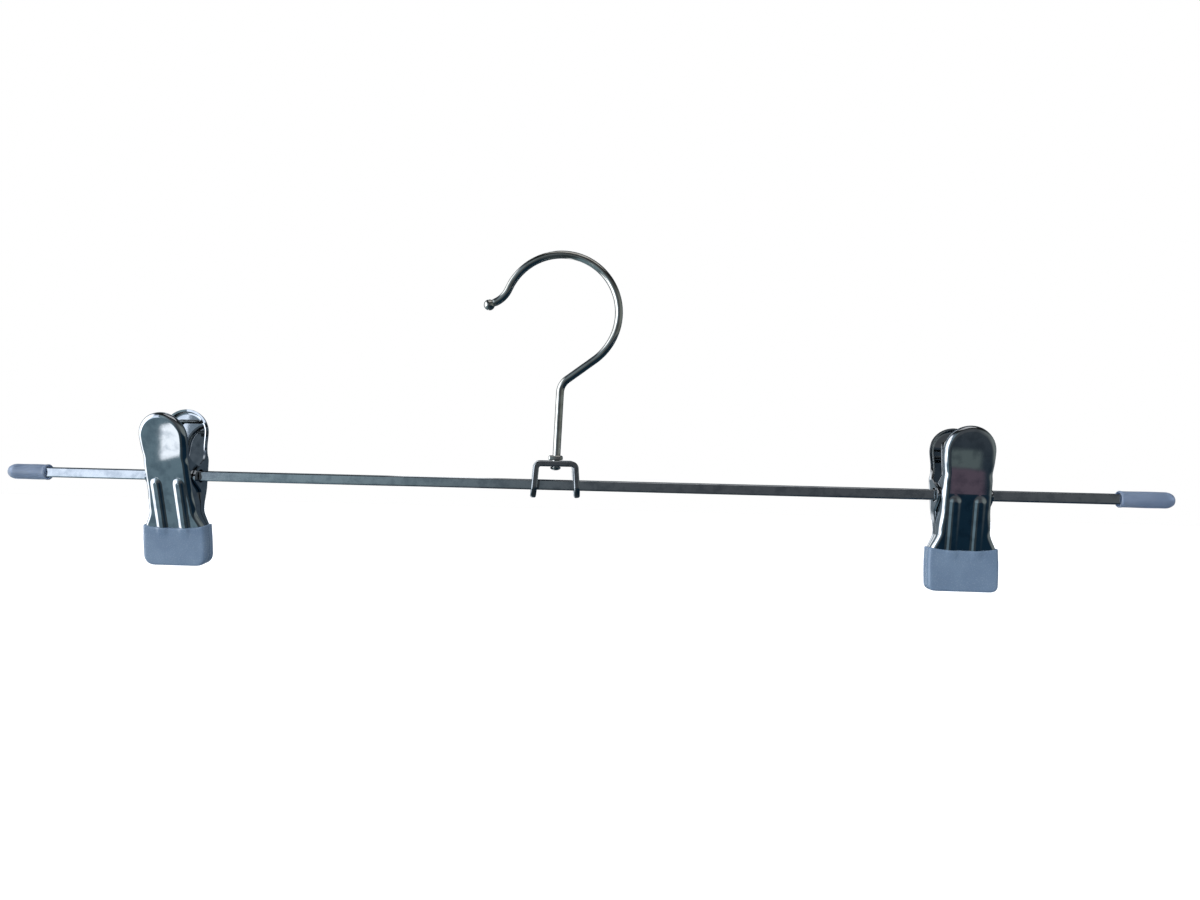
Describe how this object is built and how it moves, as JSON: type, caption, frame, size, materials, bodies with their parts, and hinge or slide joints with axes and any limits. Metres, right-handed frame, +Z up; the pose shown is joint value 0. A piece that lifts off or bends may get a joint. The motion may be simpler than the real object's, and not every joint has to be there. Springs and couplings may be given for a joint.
{
  "type": "clip hanger",
  "caption": "Metal clip hanger: a wire hook turns in a bracket on a square bar, and sprung clips with soft boots slide along the bar to hold trousers or skirts.",
  "frame": {"origin": "where the hook sits on a rail, at the top of the inside of its loop", "axes": "+X along the bar to the right of someone facing the hook's open side on their left, +Z up, -Y the front"},
  "size_m": [0.4, 0.0236, 0.1121],
  "materials": {
    "hook_wire": "polished",
    "bracket_strip": "polished",
    "bar": "polished",
    "clip_sheet": "polished",
    "spring_wire": "satin",
    "cap_vinyl": "satin",
    "boot_vinyl": "satin"
  },
  "bodies": {
    "hook": {"hook": "hook_wire"},
    "frame": {"bracket": "bracket_strip", "bar": "bar", "end_cap_left": "cap_vinyl", "end_cap_right": "cap_vinyl"},
    "left_front": {"left_front_jaw": "clip_sheet", "left_front_boot": "boot_vinyl", "left_spring_front_leg": "spring_wire"},
    "left_back": {"left_back_jaw": "clip_sheet", "left_back_boot": "boot_vinyl", "left_spring_back_leg": "spring_wire"},
    "left_coil": {"left_spring_coil": "spring_wire"},
    "right_front": {"right_front_jaw": "clip_sheet", "right_front_boot": "boot_vinyl", "right_spring_front_leg": "spring_wire"},
    "right_back": {"right_back_jaw": "clip_sheet", "right_back_boot": "boot_vinyl", "right_spring_back_leg": "spring_wire"},
    "right_coil": {"right_spring_coil": "spring_wire"}
  },
  "joints": [
    {"name": "hook_swivel", "type": "hinge", "parent": "hook", "child": "frame", "pos_m": [-0.0008, 0, -0.0708], "axis": [0, 0, 1], "continuous": true},
    {"name": "left_clip_slide", "type": "slide", "parent": "frame", "child": "left_coil", "axis": [1, 0, 0], "range_m": [-0.0365, 0.1155]},
    {"name": "left_clip_swing", "type": "hinge", "parent": "left_coil", "child": "left_back", "pos_m": [-0.1351, 0, -0.0775], "axis": [1, 0, 0], "continuous": true},
    {"name": "left_clip_open", "type": "hinge", "parent": "left_back", "child": "left_front", "pos_m": [-0.1351, 0, -0.0775], "axis": [-1, 0, 0], "range_deg": [0, 28], "stiffness_Nm_per_rad": 0.03, "springref_deg": -20.05},
    {"name": "right_clip_slide", "type": "slide", "parent": "frame", "child": "right_coil", "axis": [1, 0, 0], "range_m": [-0.1175, 0.041]},
    {"name": "right_clip_swing", "type": "hinge", "parent": "right_coil", "child": "right_back", "pos_m": [0.1356, 0, -0.0775], "axis": [1, 0, 0], "continuous": true},
    {"name": "right_clip_open", "type": "hinge", "parent": "right_back", "child": "right_front", "pos_m": [0.1356, 0, -0.0775], "axis": [-1, 0, 0], "range_deg": [0, 28], "stiffness_Nm_per_rad": 0.03, "springref_deg": -20.05}
  ]
}
